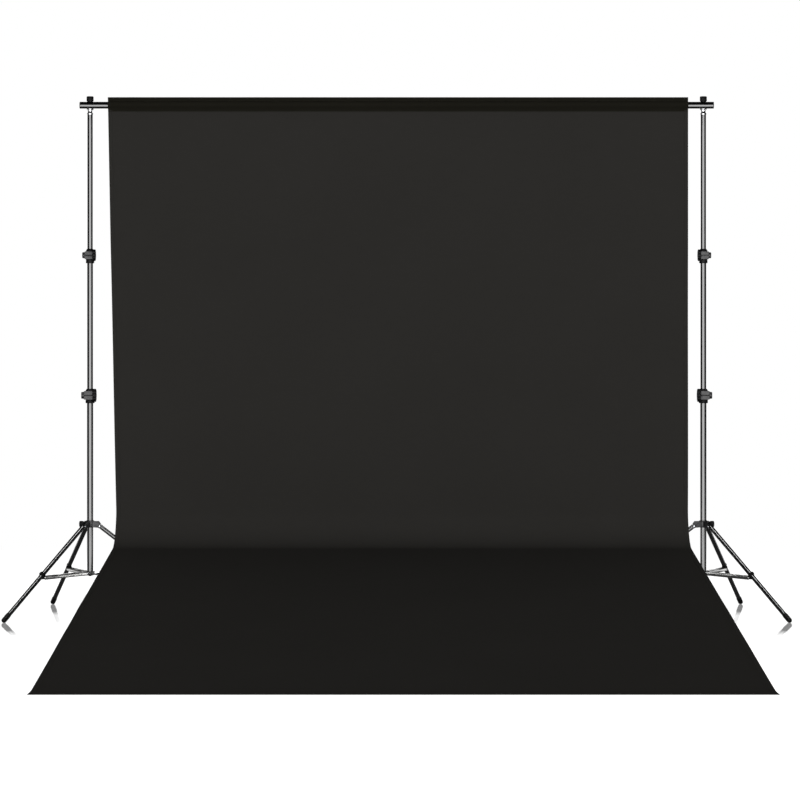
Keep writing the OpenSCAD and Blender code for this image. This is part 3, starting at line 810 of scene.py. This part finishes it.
def dress_nodes():
    """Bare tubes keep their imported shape. Moulded, pressed and turned pieces get rounded edges."""
    for side in SIDES:
        for part in ("lower_tube", "middle_tube", "top_tube"):
            bare(f"{side}_{part}", "tube")
        for part in ("leg_hub", "brace_hub"):
            softened(f"{side}_{part}", 0.9, "moulded")
        for level, scale in COLLARS.items():
            # the sleeve behind each clamp face gets the darker knob finish as painted shade; the collar is
            # one moulding
            softened(f"{side}_{level}_collar", 0.9, "moulded", painted_shade_behind=("knob", CLAMP_FRONT * scale * MM))
        for level in COLLARS:
            softened(f"{side}_{level}_collar_knob", 0.8, "knob")
        hub_knob_out = Vector(JOINTS[f"{side}_hub_knob_turn"]["axis"])
        softened(f"{side}_leg_hub_knob", 0.7, "knob", recess=(hub_knob_out, 3.5, 1.2))
        softened(f"{side}_top_knob", 0.8, "knob", recess=(Vector((0, 0, 1)), 4, 1.2))
        for part in ("leg_hub_rivets", "brace_hub_rivets"):
            softened(f"{side}_{part}", 0.4, "rivet")
        softened(f"{side}_spigot", 0.4, "chrome")
        for leg in LEGS:
            bare(f"{side}_{leg}_leg", "tube")
            softened(f"{side}_{leg}_brace", 0.3, "channel")
            softened(f"{side}_{leg}_leg_clip", 0.7, "knob")
            softened(f"{side}_{leg}_foot", 0.8, "rubber")
    bare("crossbar_sections", "tube")
    bare("crossbar_joiners", "channel")
    softened("crossbar_end_caps", 0.5, "rubber")


# ---------- small fittings ----------


def collar_fittings(side, level, outer, inner, scale):
    """A lock collar's guide bush and bead, its clamp knob's cap, and the captive nut on its screw.

    Outer and inner are the radii of the tube the collar is fixed on and of the tube it grips.
    """
    collar = f"{side}_{level}_collar"
    low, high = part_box(collar)
    middle = Matrix.Translation((SIDES[side] * STAND_X, BAR.y, (low.z + high.z) / 2))
    sleeve = outer + 6 * scale
    bore = inner + BUSH_CLEAR
    top, bottom = SLEEVE_HALF, -SLEEVE_HALF
    bm = bmesh.new()
    turned(bm, middle, [(bore, top - 1), (bore, top + 1.8), (inner + 0.9, top + 2.4),
                        (sleeve - 6, top + 2.4), (sleeve - 5, top + 1.6), (sleeve - 5, top - 1)])
    turned(bm, middle, [(sleeve - 0.5, bottom + 4), (sleeve + 0.5, bottom + 3.6),
                        (sleeve + 0.8, bottom + 3), (sleeve + 0.5, bottom + 2.4),
                        (sleeve - 0.5, bottom + 2)])
    piece(f"{collar}_guide_bush", bm, "knob", body_of(collar), crease=50)

    knob = JOINTS[f"{side}_{level}_clamp_knob_turn"]
    place = facing(knob["pos_m"], knob["axis"])
    dish = outer + 15 * scale - 2.6
    rim = 12.2 * scale
    bm = bmesh.new()
    turned(bm, place, [(0, dish + 2.4), (5 * scale, dish + 2.3), (9.5 * scale, dish + 1.9),
                       (11.6 * scale, dish + 1.1), (rim, dish + 0.4), (rim, dish - 0.3), (0, dish - 0.3)])
    piece(f"{collar}_knob_cap", bm, "knob", body_of(f"{collar}_knob"), crease=50)

    end = -SCREW_END * scale
    flats = 5.6 * scale
    bm = bmesh.new()
    turned(bm, place, [(0, end + 0.3), (flats, end + 0.3), (flats, end - 0.3), (5.2 * scale, end - 0.7),
                       (0, end - 0.7)], steps=6)
    turned(bm, place, [(0, end), (2.9, end), (2.9, end - 0.9), (2.4, end - 1.3), (0, end - 1.4)],
           steps=24)
    piece(f"{collar}_captive_nut", bm, "rivet", body_of(collar), crease=30)


def hub_fittings(side):
    """A guide bush where the leg hub slides, and the brace hub's bead and end screw."""
    stand = Matrix.Translation((SIDES[side] * STAND_X, BAR.y, 0))
    column = COLUMN_R_MM
    bore = column + BUSH_CLEAR
    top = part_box(f"{side}_leg_hub")[1].z / MM
    bm = bmesh.new()
    turned(bm, stand, [(bore, top - 1), (bore, top + 1.6), (column + 0.9, top + 2.1),
                       (column + 3.2, top + 2.1), (column + 4, top + 1.3), (column + 4, top - 1)])
    piece(f"{side}_leg_hub_guide_bush", bm, "knob", body_of(f"{side}_leg_hub"), crease=50)
    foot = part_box(f"{side}_brace_hub")[0].z / MM
    bm = bmesh.new()
    turned(bm, stand, [(column + 2.6, foot + 17), (column + 3.7, foot + 17.4), (column + 4, foot + 18.2),
                       (column + 3.7, foot + 19), (column + 2.6, foot + 19.4)])
    piece(f"{side}_brace_hub_bead", bm, "moulded", body_of(f"{side}_brace_hub"), crease=50)
    bm = bmesh.new()
    turned(bm, stand, [(0, foot + 0.3), (8.5, foot + 0.3), (8.5, foot - 0.7), (8, foot - 1.2),
                       (0, foot - 1.2)])
    turned(bm, stand, [(0, foot - 1), (5.2, foot - 1), (4.9, foot - 2.6), (3.6, foot - 3.6),
                       (0, foot - 4)])
    piece(f"{side}_column_end_screw", bm, "screw", body_of(f"{side}_brace_hub"), crease=30)


def leg_fittings(side, leg):
    """Grip rings on the foot, the screw through the clip's nub, and the bead pressed into the brace."""
    along_leg = limb_place(side, f"{side}_{leg}_leg_hinge", math.pi - LEG_ANGLE)
    foot_r = LEG_R + 1.3
    bm = bmesh.new()
    for back in (30, 23, 16):
        at = LEG_LENGTH - back
        turned(bm, along_leg, [(foot_r - 0.5, at - 1.6), (foot_r + 0.2, at - 1.1), (foot_r + 0.4, at),
                               (foot_r + 0.2, at + 1.1), (foot_r - 0.5, at + 1.6)])
    piece(f"{side}_{leg}_foot_grip_rings", bm, "rubber", body_of(f"{side}_{leg}_foot"), crease=50)

    nub = along_leg @ Matrix.Translation(Vector((-LEG_R - 3.2, 0, CLIP_DISTANCE)) * MM)
    across = nub @ Matrix.Rotation(-math.pi / 2, 4, "X")
    bm = bmesh.new()
    turned(bm, across, [(0, 4.8), (2.9, 4.8), (2.9, 6.4), (2.4, 6.9), (1.5, 6.9), (1.4, 5.9), (0, 5.9)],
           steps=24)
    turned(bm, across, [(0, -4.8), (3.1, -4.8), (3.1, -6.4), (2.7, -6.9), (0, -6.9)], steps=6)
    piece(f"{side}_{leg}_clip_screw", bm, "screw", body_of(f"{side}_{leg}_leg_clip"), crease=30)

    brace = limb_place(side, f"{side}_{leg}_brace_hinge", BRACE_TILT)
    web_top = brace @ Matrix.Translation(Vector((0, 0, BRACE_HALF_H - 0.15)) * MM)
    bm = bmesh.new()
    pressed_bead(bm, web_top, 27, BRACE_LENGTH - BRACE_END_FLAT, width=9, height=1.5)
    piece(f"{side}_{leg}_brace_bead", bm, "channel", body_of(f"{side}_{leg}_brace"), crease=70)


def fit_small_parts():
    """The small fittings of both stands, from the collars down to the feet."""
    for side in SIDES:
        for step, (level, scale) in enumerate(COLLARS.items()):
            outer = COLUMN_R_MM - step * TUBE_STEP
            inner = COLUMN_R_MM - (step + 1) * TUBE_STEP
            collar_fittings(side, level, outer, inner, scale)
        hub_fittings(side)
        for leg in LEGS:
            leg_fittings(side, leg)


# ---------- floor, background and lights ----------

WHITE = linear("#ffffff")

# the floor fades into pure white between these distances from the middle, in m
FADE_FROM, FADE_TO = 4.0, 6.5

# how brightly gloss shows the floor, where 1 is white: a strip before each stand, a patch behind, the rest
STRIP_GLOW, PATCH_GLOW, DIM_GLOW = 3.0, 1.0, 0.06
STRIP_FROM, STRIP_TO, STRIP_WIDENS, STRIP_OFFSET = 2.0, 6.0, 0.85, -0.1
PATCH_FROM, PATCH_TO, PATCH_OUT = 1.2, 2.9, 1.0

# the mirror under each foot: longer than wide, strongest up to the first distance and gone by the second
SQUEEZE = 3
POLISHED_TO, PLAIN_FROM, POLISH = 0.42, 0.78, 0.8

# the room: how wide, far round and high the white wall is, as parts of a direction, and the levels of light
WALL_SIDE, WALL_END, WALL_FRONT, WALL_TOP = 0.22, 0.34, 0.7, 0.35
ROOM_GLOW, FRONT_FILL, REAR_FILL = 0.025, 0.1, 0.5


def seen_directly(tree):
    """1 for what the camera sees, itself or in a perfect mirror, and for what shows through."""
    rays = add(tree, "ShaderNodeLightPath")
    seen = 0.0
    for kind in ("Is Camera Ray", "Is Transmission Ray", "Is Singular Ray"):
        seen = add(tree, "ShaderNodeMath", {0: seen, 1: rays.outputs[kind]}, operation="MAXIMUM")
    return seen, rays


def floor_in_gloss(tree, place):
    """The floor as gloss shows it: dim, with a bright strip and a white patch for each stand.

    The strip widens away from the front of the stand, and carries the bright line down the lower tube.
    The patch lies behind and outside the stand, where the plated rear brace shows it and the tubes don't.
    """
    axes = add(tree, "ShaderNodeSeparateXYZ", {0: place})
    ahead = add(tree, "ShaderNodeMath", {0: BAR.y, 1: axes.outputs["Y"]}, operation="SUBTRACT")
    off_centre = add(tree, "ShaderNodeMath", {0: axes.outputs["X"]}, operation="ABSOLUTE")
    outward = add(tree, "ShaderNodeMath", {0: off_centre, 1: STAND_X}, operation="SUBTRACT")
    aside = add(tree, "ShaderNodeMath", {0: outward}, operation="ABSOLUTE")
    strip_half = add(tree, "ShaderNodeMath", {0: ahead, 1: STRIP_WIDENS, 2: STRIP_OFFSET},
                     operation="MULTIPLY_ADD")
    in_width = add(tree, "ShaderNodeMath", {0: strip_half, 1: aside}, operation="GREATER_THAN")
    in_length = add(tree, "ShaderNodeMath", {0: ahead, 1: (STRIP_FROM + STRIP_TO) / 2,
                                             2: (STRIP_TO - STRIP_FROM) / 2}, operation="COMPARE")
    strip = add(tree, "ShaderNodeMath", {0: in_width, 1: in_length}, operation="MULTIPLY")
    patch = 1.0
    for value, test, limit in (
        (ahead, "LESS_THAN", -PATCH_FROM),
        (ahead, "GREATER_THAN", -PATCH_TO),
        (outward, "GREATER_THAN", PATCH_OUT),
    ):
        passed = add(tree, "ShaderNodeMath", {0: value, 1: limit}, operation=test)
        patch = add(tree, "ShaderNodeMath", {0: patch, 1: passed}, operation="MULTIPLY")
    glow = add(tree, "ShaderNodeMix", {0: patch, 2: DIM_GLOW, 3: PATCH_GLOW})
    glow = add(tree, "ShaderNodeMix", {0: strip, 2: glow, 3: STRIP_GLOW})
    return add(tree, "ShaderNodeEmission", {"Color": WHITE, "Strength": glow})


def foot_polish(tree, place):
    """How much of a mirror the floor is: a long narrow zone under each foot, as it stands at rest."""
    squeezed = add(tree, "ShaderNodeVectorMath", {0: place, 1: (SQUEEZE, 1, 1)}, operation="MULTIPLY")
    polish = 0.0
    for side in SIDES:
        for leg in LEGS:
            low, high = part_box(f"{side}_{leg}_foot")
            foot = (SQUEEZE * (low.x + high.x) / 2, (low.y + high.y) / 2, 0)
            off = add(tree, "ShaderNodeVectorMath", {0: squeezed, 1: foot}, operation="DISTANCE")
            zone = add(tree, "ShaderNodeMapRange", {
                "Value": off.outputs["Value"], "From Min": POLISHED_TO, "From Max": PLAIN_FROM,
                "To Min": POLISH, "To Max": 0.0,
            })
            polish = add(tree, "ShaderNodeMath", {0: zone, 1: polish}, operation="MAXIMUM")
    return polish


def studio_floor():
    """A wide white polished floor. It shows white, keeps a soft shadow, and mirrors each foot under it."""
    bm = bmesh.new()
    bmesh.ops.create_grid(bm, x_segments=2, y_segments=2, size=60.0)
    floor = meshed("studio_floor", bm)
    floor.location.z = -0.5 * MM
    material, tree = new_finish("white_polished_laminate_floor")
    seen, rays = seen_directly(tree)
    place = add(tree, "ShaderNodeNewGeometry").outputs["Position"]
    lit = add(tree, "ShaderNodeBsdfDiffuse", {"Color": linear("#f2f2f2")})
    glow = add(tree, "ShaderNodeEmission", {"Color": WHITE, "Strength": 0.85})
    shown = add(tree, "ShaderNodeAddShader", {0: lit, 1: glow})
    white = add(tree, "ShaderNodeEmission", {"Color": WHITE, "Strength": 1.0})
    away = add(tree, "ShaderNodeVectorMath", {0: place, 1: (0, 0, 0)}, operation="DISTANCE")
    far = add(tree, "ShaderNodeMapRange", {"Value": away.outputs["Value"], "From Min": FADE_FROM,
                                           "From Max": FADE_TO})
    spread_out = add(tree, "ShaderNodeMixShader", {0: far, 1: shown, 2: white})
    in_gloss = floor_in_gloss(tree, place)
    unseen = add(tree, "ShaderNodeMixShader", {0: rays.outputs["Is Glossy Ray"], 1: lit, 2: in_gloss})
    plain = add(tree, "ShaderNodeMixShader", {0: seen, 1: unseen, 2: spread_out})
    mirror = add(tree, "ShaderNodeBsdfGlossy", {"Color": WHITE, "Roughness": 0.0})
    mirrored = add(tree, "ShaderNodeMath", {0: foot_polish(tree, place), 1: seen}, operation="MULTIPLY")
    surface = add(tree, "ShaderNodeMixShader", {0: mirrored, 1: plain, 2: mirror})
    add(tree, "ShaderNodeOutputMaterial", {"Surface": surface})
    floor.data.materials.append(material)


def studio_world():
    """White to the eye, a dim fill for matt parts, and for gloss a dark room with one white wall.

    The fill is stronger from behind. The wall stands low behind the object.
    """
    world = bpy.data.worlds.new("white_studio")
    bpy.context.scene.world = world
    world.use_nodes = True
    tree = world.node_tree
    tree.nodes.clear()
    seen, rays = seen_directly(tree)
    direction = add(tree, "ShaderNodeTexCoord").outputs["Generated"]
    axes = add(tree, "ShaderNodeSeparateXYZ", {0: direction})
    sideways = add(tree, "ShaderNodeMath", {0: axes.outputs["X"]}, operation="ABSOLUTE")
    wall = add(tree, "ShaderNodeMapRange", {"Value": sideways, "From Min": WALL_SIDE, "From Max": WALL_END,
                                            "To Min": 1.0, "To Max": 0.0})
    for axis, test, limit in (("Y", "GREATER_THAN", WALL_FRONT), ("Z", "LESS_THAN", WALL_TOP)):
        passed = add(tree, "ShaderNodeMath", {0: axes.outputs[axis], 1: limit}, operation=test)
        wall = add(tree, "ShaderNodeMath", {0: wall, 1: passed}, operation="MULTIPLY")
    gloss = add(tree, "ShaderNodeMix", {0: wall, 2: ROOM_GLOW, 3: 1.0})
    fill = add(tree, "ShaderNodeMapRange", {"Value": axes.outputs["Y"], "From Min": -0.2, "From Max": 0.4,
                                            "To Min": FRONT_FILL, "To Max": REAR_FILL})
    unseen = add(tree, "ShaderNodeMix", {0: rays.outputs["Is Glossy Ray"], 2: fill, 3: gloss})
    level = add(tree, "ShaderNodeMix", {0: seen, 2: unseen, 3: 1.0})
    background = add(tree, "ShaderNodeBackground", {"Color": WHITE, "Strength": level})
    add(tree, "ShaderNodeOutputWorld", {"Surface": background})


def lamp(name, kind, place, aim, **settings):
    """A studio lamp, out of the camera's sight, turned to face what it lights."""
    data = bpy.data.lights.new(name, kind)
    for setting, value in settings.items():
        setattr(data, setting, value)
    obj = placed(name, data)
    obj.location = place
    obj.rotation_euler = (Vector(aim) - Vector(place)).to_track_quat("-Z", "Y").to_euler()
    obj.visible_camera = False
    return obj


def softbox(name, place, aim, width, height, radiance):
    """A rectangular softbox that only gloss shows. A radiance of 1 shows as white."""
    box = lamp(name, "AREA", place, aim, shape="RECTANGLE", size=width, size_y=height,
               energy=radiance * math.pi * width * height)
    box.visible_diffuse = False


def studio_lights():
    """One wide low key light for the matt parts, and two softboxes for the gloss."""
    key = lamp("front_key_light", "SUN", (0, BAR.y - 10, 0.9), (0, BAR.y, 0.4), energy=3.9,
               angle=math.radians(60))
    key.visible_glossy = False
    softbox("front_softbox", (0, BAR.y - 6.0, 1.51), (0, BAR.y, 1.51), width=11.2, height=2.98,
            radiance=3.4)
    softbox("overhead_softbox", (0, BAR.y - 2.25, 9.0), (0, BAR.y - 0.3, 0.3), width=9.0, height=0.5,
            radiance=13.0)


def black_flag():
    """A black flag just over the bar, out of sight, that keeps the overhead softbox off the bar's gloss."""
    bm = bmesh.new()
    above = HEADER_TOP + 0.14
    half_width, front, back = 2.2, BAR.y - 0.4, BAR.y + 0.25
    corners = ((-half_width, front), (half_width, front), (half_width, back), (-half_width, back))
    bm.faces.new([bm.verts.new((x, y, above)) for x, y in corners])
    flag = meshed("black_flag", bm)
    material, tree = new_finish("black_flag_cloth")
    surface = add(tree, "ShaderNodeBsdfDiffuse", {"Color": linear("#2a2a2a")})
    add(tree, "ShaderNodeOutputMaterial", {"Surface": surface})
    flag.data.materials.append(material)
    flag.visible_camera = False
    flag.visible_diffuse = False


# ---------- put together ----------

studio_camera()
studio_world()
studio_lights()
studio_floor()
black_flag()
dress_nodes()
fit_small_parts()
hang_cloth()

bpy.context.scene.view_settings.view_transform = "Standard"
